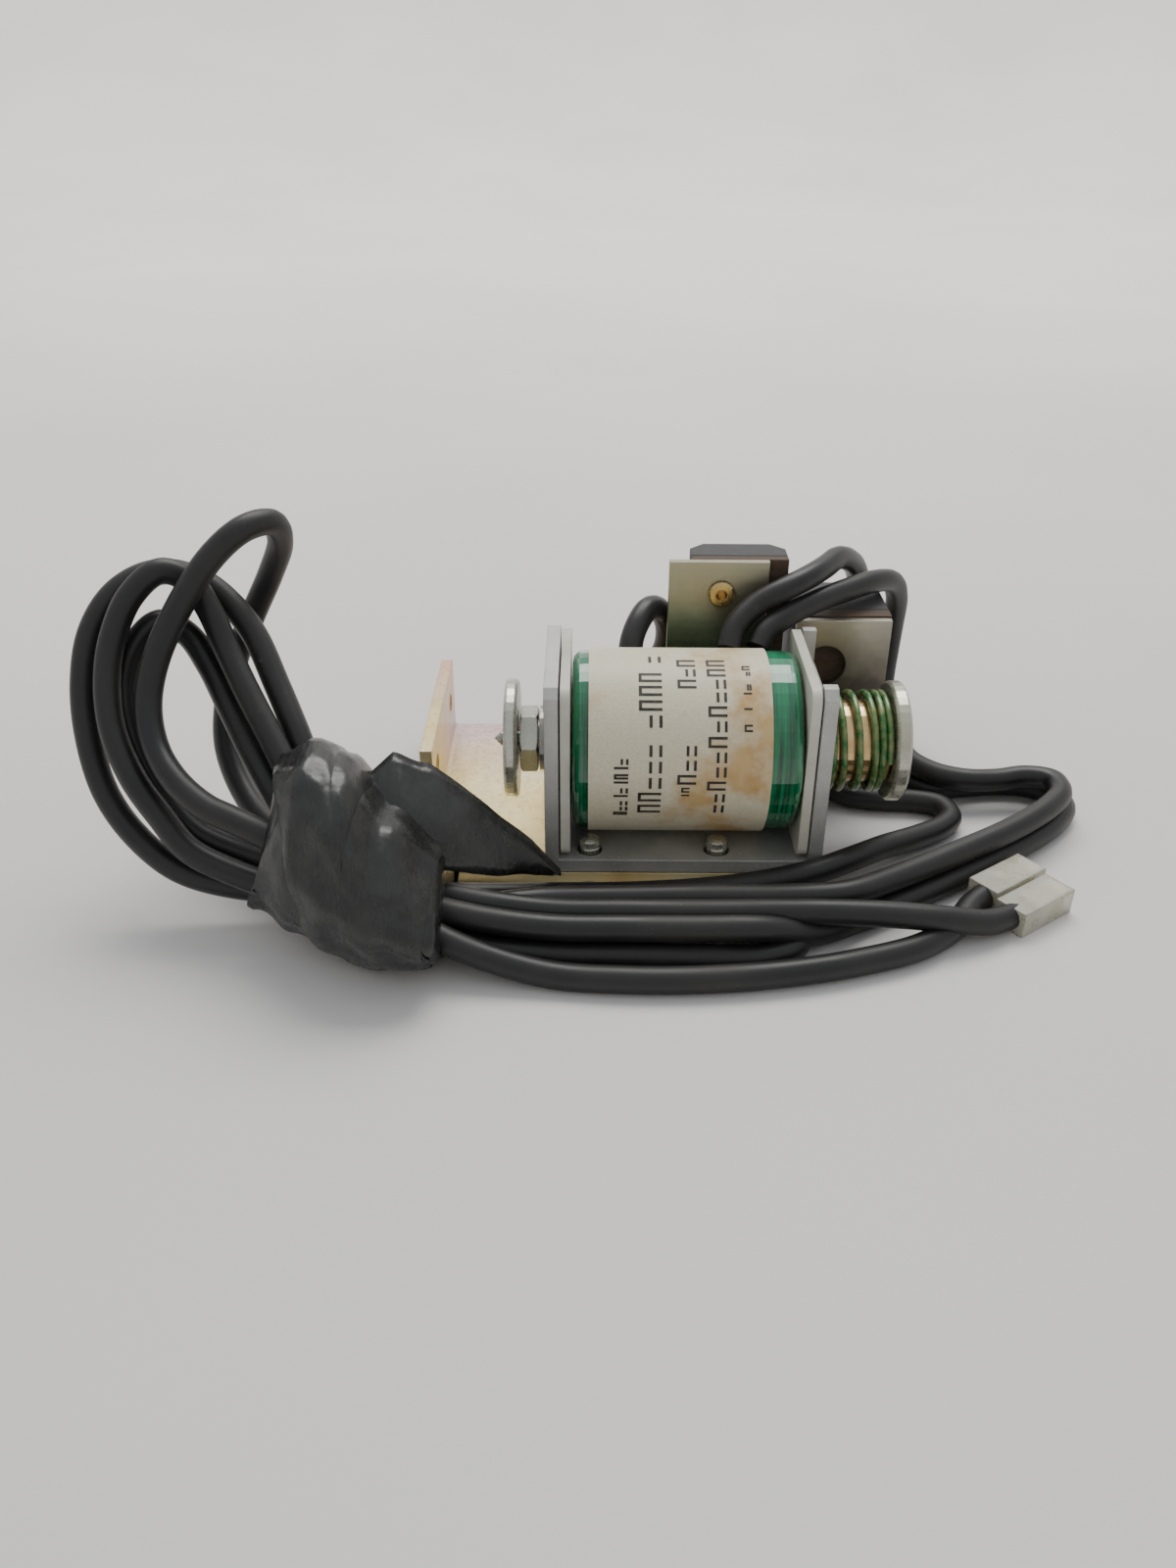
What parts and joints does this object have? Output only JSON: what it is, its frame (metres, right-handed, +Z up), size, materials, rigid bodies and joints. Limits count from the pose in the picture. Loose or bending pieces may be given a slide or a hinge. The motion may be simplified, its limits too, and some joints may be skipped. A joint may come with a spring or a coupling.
{
  "type": "magnetic door lock",
  "caption": "Solenoid door lock on a bent bracket: spring-returned plunger with stop and head discs, magnet stacks with pole plates, and a taped hank of leads.",
  "frame": {"origin": "centre of the lock's box without its leads, at the underside of the bracket", "axes": "+X along the plunger towards the head disc, +Y from the coil's label towards the magnet stacks, +Z up from the bracket"},
  "size_m": [0.1954, 0.1044, 0.0665],
  "materials": {
    "yellow_zinc": "yellow dichromate over zinc, cream to straw with faint iridescence",
    "zinc_plate": "mid-grey zinc plate, finely speckled",
    "zinc_bright": "grey-green bright zinc plate",
    "gold_zinc": "gold dichromate, polished by sliding",
    "dark_steel": "plain turned steel, satin",
    "nylon": "beige-grey translucent nylon",
    "magnet_wire": "enamelled copper winding",
    "green_wrap": "deep green glossy insulating tape",
    "paper_label": "cream paper with ochre stains",
    "brass": "plain brass",
    "spring_enamel": "olive-green spring wire",
    "olive_plate": "olive-grey plated steel",
    "taupe_plate": "taupe-grey plated steel",
    "ferrite": "dark grey ceramic magnet, matt",
    "brown_fibre": "brown vulcanised fibre",
    "black_pvc": "satin black insulation",
    "black_tape": "glossy wrinkled black tape",
    "clear_nylon": "translucent nylon"
  },
  "bodies": {
    "lock_body": {"mounting_bracket": "yellow_zinc", "solenoid_frame": "zinc_plate", "frame_screw_1": "zinc_bright", "frame_screw_2": "zinc_bright", "frame_screw_3": "zinc_bright", "frame_screw_4": "zinc_bright", "coil_bobbin": "nylon", "coil_winding": "magnet_wire", "coil_outer_wrap": "green_wrap", "coil_label": "paper_label", "plunger_guide_tube": "brass", "fixed_core": "dark_steel", "core_lock_washer": "dark_steel", "core_hex_nut": "zinc_bright", "return_spring": "spring_enamel", "tall_front_pole_plate": "olive_plate", "tall_insulating_spacer": "brown_fibre", "tall_magnet_block": "ferrite", "tall_rear_pole_plate": "zinc_plate", "tall_tubular_rivet": "brass", "short_front_pole_plate": "taupe_plate", "short_insulating_spacer": "brown_fibre", "short_magnet_block": "ferrite", "short_rear_pole_plate": "zinc_plate", "short_tubular_rivet": "brass", "foot_rivet_1": "zinc_bright", "foot_rivet_2": "zinc_bright", "foot_rivet_3": "zinc_bright", "foot_rivet_4": "zinc_bright", "lead_a_run": "black_pvc", "lead_b_run": "black_pvc", "lead_c_run": "black_pvc", "lead_hank_left_loops": "black_pvc", "lead_hank_right_loops": "black_pvc", "tape_wrap_left": "black_tape", "tape_wrap_right": "black_tape", "tape_flap": "black_tape", "terminal_sleeve_a": "clear_nylon", "terminal_contact_a": "brass", "terminal_sleeve_b": "clear_nylon", "terminal_contact_b": "brass", "terminal_sleeve_c": "clear_nylon", "terminal_contact_c": "brass"},
    "plunger_assembly": {"plunger": "gold_zinc", "head_disc": "zinc_bright", "push_rod": "dark_steel", "stop_disc": "zinc_bright"}
  },
  "joints": [
    {"name": "plunger_slide", "type": "slide", "parent": "lock_body", "child": "plunger_assembly", "axis": [-1, 0, 0], "range_m": [0, 0.005], "stiffness_N_per_m": 400, "springref_m": -0.004, "deforming": ["return_spring"]}
  ]
}
